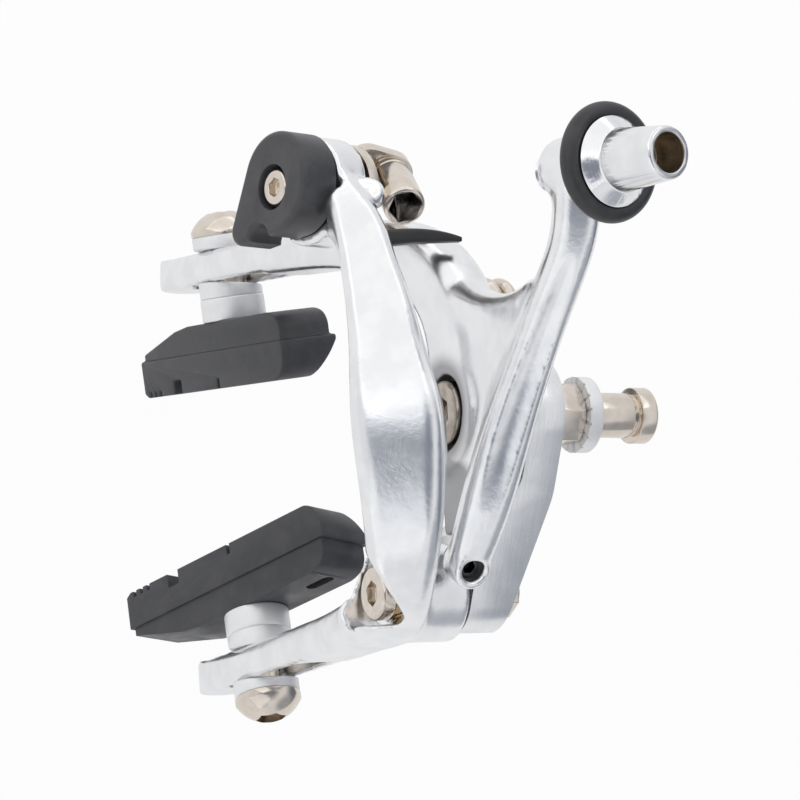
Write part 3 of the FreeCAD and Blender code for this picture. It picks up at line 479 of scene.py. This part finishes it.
def finished_mesh(mesh, name, kind, settings):
    """The mesh after one modifier, as a plain mesh."""
    holder = bpy.data.objects.new(name + "_work", mesh)
    bpy.context.collection.objects.link(holder)
    modifier = holder.modifiers.new(kind.lower(), kind)
    for key, value in settings.items():
        setattr(modifier, key, value)
    graph = bpy.context.evaluated_depsgraph_get()
    result = bpy.data.meshes.new_from_object(holder.evaluated_get(graph))
    bpy.data.objects.remove(holder)
    return result


def ring(radius, height, count):
    """Points evenly round the Z axis."""
    turns = [radians(360 * step / count) for step in range(count)]
    return [Vector((radius * cos(turn), radius * sin(turn), height)) for turn in turns]


def prism(name, outline, rise):
    """A working block: an outline and the same outline moved by rise, in metres."""
    lower = [Vector(point) for point in outline]
    upper = [point + Vector(rise) for point in lower]
    count = len(lower)
    faces = [tuple(range(count)), tuple(range(count, 2 * count))]
    for step in range(count):
        after = (step + 1) % count
        faces.append((step, after, after + count, step + count))
    mesh = bpy.data.meshes.new(name)
    mesh.from_pydata(lower + upper, [], faces)
    return faced_outward(mesh)


def combined(mesh, name, operation, block):
    """The mesh with a working block cut from it or joined to it."""
    tool = bpy.data.objects.new(name + "_tool", block)
    bpy.context.collection.objects.link(tool)
    settings = {"operation": operation, "solver": "EXACT", "object": tool}
    result = finished_mesh(mesh, name, "BOOLEAN", settings)
    bpy.data.objects.remove(tool)
    return result


def add_piece(name, mesh, node, sharp=SHARP_ANGLE, stands_for=True):
    """Places a finished mesh on its body, in the place of a CAD node or as a detail beside it."""
    mesh.shade_smooth()
    mesh.set_sharp_from_angle(angle=sharp)
    mesh.materials.clear()
    mesh.materials.append(finish_for(node))
    piece = bpy.data.objects.new(name, mesh)
    bpy.context.collection.objects.link(piece)
    if node == "return_spring":
        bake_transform(piece)
    else:
        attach(piece, body_of[node])
    if stands_for:
        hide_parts(node)
    return piece


def machined(node, edge):
    """A turned, milled or moulded piece with its sharp edges broken."""
    bevel = {"width": edge, "segments": EDGE_SEGMENTS, "limit_method": "ANGLE", "angle_limit": SHARP_ANGLE,
             "use_clamp_overlap": True, "miter_outer": "MITER_ARC"}
    mesh = finished_mesh(joined_copy(node), node, "BEVEL", bevel)
    return add_piece(node + "_finished", mesh, node)


def neighbour_mean(points, edges, counts):
    """For each point, the mean of the points that its edges lead to."""
    total = np.zeros_like(points)
    for axis in range(points.shape[1]):
        total[:, axis] += np.bincount(edges[:, 0], points[edges[:, 1], axis], len(points))
        total[:, axis] += np.bincount(edges[:, 1], points[edges[:, 0], axis], len(points))
    return total / counts[:, None]


def point_normals(mesh, points):
    """Moves the mesh to the points and gives its normals there."""
    mesh.vertices.foreach_set("co", points.ravel())
    mesh.update()
    normals = np.empty(points.size)
    mesh.vertex_normals.foreach_get("vector", normals)
    return normals.reshape(-1, 3)


def even_skin(node, mesh):
    """The mesh under an even skin of small faces, with its points and edges as arrays."""
    remesh = {"mode": "VOXEL", "voxel_size": ARM_GRAIN, "adaptivity": 0.0}
    mesh = finished_mesh(mesh, node, "REMESH", remesh)
    count = len(mesh.vertices)
    points = np.empty(count * 3)
    mesh.vertices.foreach_get("co", points)
    points = points.reshape(-1, 3)
    edges = np.empty(len(mesh.edges) * 2, dtype=np.int64)
    mesh.edges.foreach_get("vertices", edges)
    edges = edges.reshape(-1, 2)
    counts = np.bincount(edges.ravel(), minlength=count).astype(float)
    return mesh, points, edges, counts


def smoothed(points, edges, counts, passes, weights):
    """Points drawn to their neighbours. One weight rounds edges; a pair in turn keeps the size."""
    for step in range(passes):
        for weight in weights:
            points = points + weight * (neighbour_mean(points, edges, counts) - points)
    return points


def mark_recess_shade(mesh, points, edges, counts, shaded_spots):
    """Stores at each point how much painted shade and dullness it gets: 1 deep in a slot or pocket and on
    the listed spots.
    """
    normals = point_normals(mesh, points)
    tree = BVHTree.FromPolygons(points.tolist(), [tuple(face.vertices) for face in mesh.polygons])
    helper = np.where(np.abs(normals[:, :1]) < 0.8, [[1.0, 0, 0]], [[0, 1.0, 0]])
    first = np.cross(normals, helper)
    first /= np.linalg.norm(first, axis=1)[:, None]
    second = np.cross(normals, first)
    starts = [Vector(point) for point in points + normals * RECESS_LIFT]
    blocked = np.zeros(len(points))
    for tilt in RECESS_TILTS:
        for spoke in range(RECESS_SPOKES):
            turn = radians(360 * spoke / RECESS_SPOKES)
            sideways = first * cos(turn) + second * sin(turn)
            rays = normals * cos(tilt) + sideways * sin(tilt)
            for index, ray in enumerate(rays):
                if tree.ray_cast(starts[index], Vector(ray), RECESS_REACH)[0] is not None:
                    blocked[index] += 1
    blocked /= len(RECESS_TILTS) * RECESS_SPOKES
    blocked = smoothed(blocked[:, None], edges, counts, RECESS_BLUR_PASSES, [SOFTEN_WEIGHT])[:, 0]
    for center, radius in shaded_spots:
        far = np.linalg.norm(points - np.array(center), axis=1)
        blocked = np.maximum(blocked, np.clip(2 - 2 * far / radius, 0, 1) * SPOT_SHADE)
    mesh.attributes.new("recess_shade", "FLOAT", "POINT").data.foreach_set("value", blocked)


def forged(node, mesh, softening, fills, fill_passes, keep_clear, shaded_spots):
    """A polished forging: even skin, soft edges, and inside corners filled within the given balls.
    keep_clear lists the rounds, as a point, an axis and a radius, where nothing is filled."""
    mesh, points, edges, counts = even_skin(node, mesh)
    points = smoothed(points, edges, counts, softening, [SOFTEN_WEIGHT])
    points = smoothed(points, edges, counts, SETTLE_PASSES, SETTLE_WEIGHTS)
    free = np.zeros(len(points))
    for center, reach in fills:
        far = np.linalg.norm(points - np.array(center), axis=1)
        free = np.maximum(free, np.clip(2 - 2 * far / reach, 0, 1))
    for base, axis, radius in keep_clear:
        offset = points - np.array(base)
        offset = offset - np.outer(offset @ np.array(axis), np.array(axis))
        free[np.linalg.norm(offset, axis=1) < radius] = 0
    for step in range(fill_passes):
        if step % NORMALS_EVERY == 0:
            normals = point_normals(mesh, points)
        shift = neighbour_mean(points, edges, counts) - points
        outward = np.einsum("ij,ij->i", shift, normals) > 0
        points = points + (FILL_WEIGHT * free * outward)[:, None] * shift
    points = smoothed(points, edges, counts, LAST_SETTLE_PASSES, SETTLE_WEIGHTS)
    mesh.vertices.foreach_set("co", points.ravel())
    mesh.update()
    mark_recess_shade(mesh, points, edges, counts, shaded_spots)
    return add_piece(node + "_forging", mesh, node, ARM_SHARP_ANGLE)


def slot_block():
    """Working block for the slot in the right pad: a flat bar with round ends."""
    along = PAD_SLOT_ALONG - PAD_SLOT_FACING * PAD_SLOT_ALONG.dot(PAD_SLOT_FACING)
    along.normalize()
    across = PAD_SLOT_FACING.cross(along)
    outline = []
    for spot in ring(PAD_SLOT_HALF_WIDTH, 0.0, PAD_SLOT_STEPS):
        shift = PAD_SLOT_HALF_LENGTH if spot.x > 0 else -PAD_SLOT_HALF_LENGTH
        point = PAD_SLOT_CENTER + along * (shift + spot.x) + across * spot.y
        outline.append(point - PAD_SLOT_FACING * PAD_SLOT_DEPTH)
    return prism("pad_slot", outline, PAD_SLOT_FACING * (3 * PAD_SLOT_DEPTH))


def moulded_pad(node, cut=None):
    """A rubber pad with soft edges, rounded most at its rear end."""
    mesh = joined_copy(node)
    work = bmesh.new()
    work.from_mesh(mesh)
    points = np.array([vertex.co for vertex in work.verts])
    length_axis = np.linalg.svd(points - points.mean(axis=0), full_matrices=False)[2][0]
    if length_axis[1] < 0:
        length_axis = -length_axis
    from_end = (points @ length_axis).max() - points @ length_axis
    work.verts.index_update()
    corners = []
    for edge in work.edges:
        inside = max(from_end[vertex.index] for vertex in edge.verts) < PAD_END_LENGTH
        slanted = PAD_END_ANGLES[0] < edge.calc_face_angle(0) < PAD_END_ANGLES[1]
        if inside and slanted and edge.calc_length() > PAD_END_LENGTH:
            corners.append(edge)
    bmesh.ops.bevel(work, geom=corners, offset=PAD_END_ROUND, offset_type="OFFSET",
                    segments=PAD_END_SEGMENTS, profile=0.5, affect="EDGES", clamp_overlap=True)
    bmesh.ops.remove_doubles(work, verts=work.verts, dist=TINY_EDGE)
    bmesh.ops.dissolve_degenerate(work, dist=TINY_EDGE, edges=work.edges)
    work.to_mesh(mesh)
    work.free()
    bevel = {"width": PAD_EDGE, "segments": EDGE_SEGMENTS, "limit_method": "ANGLE",
             "angle_limit": SHARP_ANGLE}
    mesh = finished_mesh(mesh, node, "BEVEL", bevel)
    if cut:
        mesh = combined(mesh, node, "DIFFERENCE", cut)
    return add_piece(node + "_moulding", mesh, node)


def dome_profile():
    """A pad bolt's head, as (place along the axis from its seat, radius), read outwards."""
    rise = HEAD_THICK - HEAD_RIM
    radius = (HEAD_RADIUS ** 2 + rise ** 2) / (2 * rise)
    half_angle = asin(HEAD_RADIUS / radius)
    profile = [(0.0, HEAD_RADIUS - HEAD_RIM_EDGE), (HEAD_RIM_EDGE, HEAD_RADIUS)]
    for step in range(DOME_STEPS):
        lean = half_angle * (1 - step / DOME_STEPS)
        profile.append((HEAD_THICK - radius * (1 - cos(lean)), radius * sin(lean)))
    return profile


def turned_pad_bolt(node):
    """A pad bolt with a smooth dome, after a plain shank as long as the CAD solid's."""
    profile = dome_profile()
    mesh = joined_copy(node)
    points = np.array([vertex.co for vertex in mesh.vertices])
    middle = points.mean(axis=0)
    axis = np.linalg.svd(points - middle, full_matrices=False)[2][0]
    across = points - middle - np.outer((points - middle) @ axis, axis)
    head = np.linalg.norm(across, axis=1) > HEAD_SHARE * HEAD_RADIUS
    along = (points - middle) @ axis
    if along[head].mean() < along.mean():
        axis, along = -axis, -along
    center = middle + across.mean(axis=0)
    seat, shank_end = along[head].min(), along.min()
    rings = [(shank_end, SHANK_RADIUS - SHANK_CHAMFER), (shank_end + SHANK_CHAMFER_LENGTH, SHANK_RADIUS),
             (seat, SHANK_RADIUS)]
    rings += [(seat + place, radius) for place, radius in profile]
    turn_to = Vector((0, 0, 1)).rotation_difference(Vector(axis)).to_matrix().to_4x4()
    place_at = Matrix.Translation(Vector(center)) @ turn_to
    work = bmesh.new()
    loops = []
    for height, radius in rings:
        loops.append([work.verts.new(spot) for spot in ring(radius, height, TURNING_STEPS)])
    for lower, upper in zip(loops, loops[1:]):
        for step in range(TURNING_STEPS):
            after = (step + 1) % TURNING_STEPS
            work.faces.new((lower[step], lower[after], upper[after], upper[step]))
    work.faces.new(list(reversed(loops[0])))
    work.faces.new(loops[-1])
    bmesh.ops.transform(work, matrix=place_at, verts=work.verts)
    bolt = bpy.data.meshes.new(node)
    work.to_mesh(bolt)
    work.free()
    top = seat + profile[-1][0]
    corners = [place_at @ corner for corner in ring(SOCKET_WIDTH / 3 ** 0.5, top - SOCKET_DEPTH, 6)]
    socket = prism(node + "_socket", corners, Vector(axis) * (SOCKET_DEPTH * 2))
    return add_piece(node + "_turned", combined(bolt, node, "DIFFERENCE", socket), node)


def thread_tree():
    """Spiral rib of a screw thread along +Z, with the identifiers of its named inputs."""
    tree = bpy.data.node_groups.new("screw_thread", "GeometryNodeTree")
    sockets = tree.interface
    sockets.new_socket(name="Geometry", in_out="OUTPUT", socket_type="NodeSocketGeometry")
    kinds = {"Radius": "NodeSocketFloat", "Pitch": "NodeSocketFloat", "Turns": "NodeSocketFloat",
             "Depth": "NodeSocketFloat", "Finish": "NodeSocketMaterial"}
    names = {}
    for name, kind in kinds.items():
        names[name] = sockets.new_socket(name=name, in_out="INPUT", socket_type=kind).identifier
    given = tree.nodes.new("NodeGroupInput").outputs
    rise = tree.nodes.new("ShaderNodeMath")
    rise.operation = "MULTIPLY"
    spiral = tree.nodes.new("GeometryNodeCurveSpiral")
    spiral.inputs["Resolution"].default_value = THREAD_STEPS
    ridge = tree.nodes.new("GeometryNodeCurvePrimitiveCircle")
    ridge.inputs["Resolution"].default_value = THREAD_SIDES
    rib = tree.nodes.new("GeometryNodeCurveToMesh")
    rib.inputs["Fill Caps"].default_value = True
    real = tree.nodes.new("GeometryNodeRealizeInstances")
    dressed = tree.nodes.new("GeometryNodeSetMaterial")
    result = tree.nodes.new("NodeGroupOutput")
    links = [
        (given["Pitch"], rise.inputs[0]),
        (given["Turns"], rise.inputs[1]),
        (given["Turns"], spiral.inputs["Rotations"]),
        (given["Radius"], spiral.inputs["Start Radius"]),
        (given["Radius"], spiral.inputs["End Radius"]),
        (rise.outputs[0], spiral.inputs["Height"]),
        (given["Depth"], ridge.inputs["Radius"]),
        (spiral.outputs["Curve"], rib.inputs["Curve"]),
        (ridge.outputs["Curve"], rib.inputs["Profile Curve"]),
        (rib.outputs["Mesh"], real.inputs["Geometry"]),
        (real.outputs["Geometry"], dressed.inputs["Geometry"]),
        (given["Finish"], dressed.inputs["Material"]),
        (dressed.outputs["Geometry"], result.inputs["Geometry"]),
    ]
    for source, target in links:
        tree.links.new(source, target)
    return tree, names


thread_group, thread_inputs = thread_tree()


def screw_thread(node, base, axis, sizes):
    """The thread on the bare end of a screw, from base along axis."""
    holder = bpy.data.objects.new(node + "_thread_work", bpy.data.meshes.new(node + "_thread_work"))
    bpy.context.collection.objects.link(holder)
    modifier = holder.modifiers.new("screw_thread", "NODES")
    modifier.node_group = thread_group
    for name, value in sizes.items():
        modifier[thread_inputs[name]] = value
    modifier[thread_inputs["Finish"]] = finish_for(node)
    graph = bpy.context.evaluated_depsgraph_get()
    mesh = bpy.data.meshes.new_from_object(holder.evaluated_get(graph))
    bpy.data.objects.remove(holder)
    turn_to = Vector((0, 0, 1)).rotation_difference(axis).to_matrix().to_4x4()
    mesh.transform(Matrix.Translation(base) @ turn_to)
    return add_piece(node + "_thread", faced_outward(mesh), node, stands_for=False)


# The two arms
rear_arm_mesh = combined(joined_copy("y_arm"), "y_arm", "UNION", prism("hub_web", HUB_WEB, HUB_WEB_RISE))
rear_arm_clear = [(center_pivot, center_axis, HUB_CLEAR), (adjuster_base, adjuster_axis, ADJUSTER_CLEAR)]
pocket_corner = prism("pocket_corner", POCKET_CORNER, POCKET_CORNER_RISE)
front_arm_mesh = combined(joined_copy("c_arm"), "c_arm", "DIFFERENCE", pocket_corner)
front_arm_clear = [(side_pivot, side_axis, SIDE_PIVOT_CLEAR), (release_pivot, release_axis, RELEASE_SWEEP)]
forged("y_arm", rear_arm_mesh, REAR_ARM_SOFTENING, REAR_ARM_FILLS, REAR_ARM_FILL_PASSES,
       rear_arm_clear, REAR_ARM_SHADED_SPOTS)
forged("c_arm", front_arm_mesh, FRONT_ARM_SOFTENING, FRONT_ARM_FILLS, FRONT_ARM_FILL_PASSES,
       front_arm_clear, [])

# Pads and their bolts
moulded_pad("brake_pad_right", slot_block())
moulded_pad("brake_pad_left")
turned_pad_bolt("pad_bolt_right")
turned_pad_bolt("pad_bolt_left")

# Bare thread ends
screw_thread("adjuster_barrel", adjuster_base - adjuster_axis * ADJUSTER_THREAD_DROP, adjuster_axis,
             {"Radius": 2.95 * MM, "Pitch": 0.9 * MM, "Turns": 2.3, "Depth": 0.3 * MM})
screw_thread("side_pivot_bolt", side_pivot + SIDE_PIVOT_THREAD_SHIFT, SIDE_PIVOT_THREAD_AXIS,
             {"Radius": 3.0 * MM, "Pitch": 0.7 * MM, "Turns": 0.9, "Depth": 0.2 * MM})
screw_thread("clamp_bolt", CLAMP_THREAD_START, CLAMP_THREAD_AXIS,
             {"Radius": 2.5 * MM, "Pitch": 0.8 * MM, "Turns": 1.0, "Depth": 0.22 * MM})

# All other pieces
SHAPED_APART = ("y_arm", "c_arm", "brake_pad_right", "brake_pad_left", "pad_bolt_right", "pad_bolt_left")
for node in body_of:
    if node not in SHAPED_APART:
        machined(node, OWN_EDGE.get(node, WASHER_EDGE if "washer" in node else BOLT_EDGE))


def studio_floor():
    """White sweep: bright to the eye, pale in reflections, with the object's own faint shadow."""
    finish = Finish(bpy.data.materials.new("studio_floor"))
    direct = finish.light_path("Is Camera Ray")
    glossy = finish.light_path("Is Glossy Ray")
    through = finish.light_path("Is Transmission Ray")
    seen = (direct * FLOOR_SEEN).most(glossy * FLOOR_MIRRORED).most(through * FLOOR_SEEN)
    cloth = finish.node("ShaderNodeBsdfDiffuse", {}, {"Color": FLOOR_CLOTH})
    glow = finish.node("ShaderNodeEmission", {}, {"Color": WHITE, "Strength": 1.0})
    mixed = finish.node("ShaderNodeMixShader", {}, {0: seen, 1: cloth, 2: glow})
    finish.node("ShaderNodeOutputMaterial", {}, {"Surface": mixed})
    return finish.owner


floor_half = FLOOR_SIZE / 2
floor_level = cad_low[2] - FLOOR_GAP
floor_corners = [
    (-floor_half, -floor_half, floor_level), (floor_half, -floor_half, floor_level),
    (floor_half, floor_half, floor_level), (-floor_half, floor_half, floor_level),
]
floor_mesh = bpy.data.meshes.new("floor")
floor_mesh.from_pydata(floor_corners, [], [(0, 1, 2, 3)])
floor_mesh.materials.append(studio_floor())
floor = bpy.data.objects.new("floor", floor_mesh)
bpy.context.collection.objects.link(floor)


def light_tent():
    """Pale tent round the object, dark behind the lamp panels and dim over the camera."""
    world = bpy.data.worlds.new("light_tent")
    finish = Finish(world)
    aim = finish.node("ShaderNodeTexCoord", output="Generated")
    colour = TENT_BASE
    for direction, start, full, tint in TENT_PATCHES:
        lined = finish.vector_math("DOT_PRODUCT", aim, Vector(direction).normalized(), "Value")
        colour = finish.blend(finish.span(lined, start, full, 0.0, 1.0), colour, tint)
    direct = finish.light_path("Is Camera Ray")
    glossy = finish.light_path("Is Glossy Ray")
    through = finish.light_path("Is Transmission Ray")
    shown = finish.blend(direct.most(glossy * TENT_WHITENING).most(through), colour, WHITE)
    bounce = finish.light_path("Is Diffuse Ray")
    sockets = {"Color": shown, "Strength": 1 - bounce * TENT_BOUNCE_CUT}
    shell = finish.node("ShaderNodeBackground", {}, sockets)
    finish.node("ShaderNodeOutputWorld", {}, {"Surface": shell})
    return world


def add_panel(name, place, aim, side, watts):
    """A square lamp panel that faces aim."""
    lamp = bpy.data.lights.new(name, "AREA")
    lamp.shape = "RECTANGLE"
    lamp.size = lamp.size_y = side
    lamp.energy = watts
    holder = bpy.data.objects.new(name, lamp)
    holder.location = place
    holder.rotation_euler = (Vector(aim) - Vector(place)).to_track_quat("-Z", "Y").to_euler()
    bpy.context.collection.objects.link(holder)


scene = bpy.context.scene
scene.world = light_tent()
object_middle = tuple((low + high) / 2 for low, high in zip(cad_low, cad_high))
for name, (place, side, watts) in PANELS.items():
    add_panel(name, place, object_middle, side, watts)

camera_data = bpy.data.cameras.new("camera")
camera_data.sensor_fit = "HORIZONTAL"
camera_data.sensor_width = CAMERA_SENSOR
camera_data.lens = CAMERA_LENS
camera_data.clip_start = CAMERA_CLIP_START
camera = bpy.data.objects.new("camera", camera_data)
camera_turn = Matrix([CAMERA_RIGHT, CAMERA_UP, CAMERA_BACK]).transposed()
camera.matrix_world = Matrix.Translation(CAMERA_PLACE) @ camera_turn.to_4x4()
bpy.context.collection.objects.link(camera)
scene.camera = camera
scene.view_settings.view_transform = "Standard"
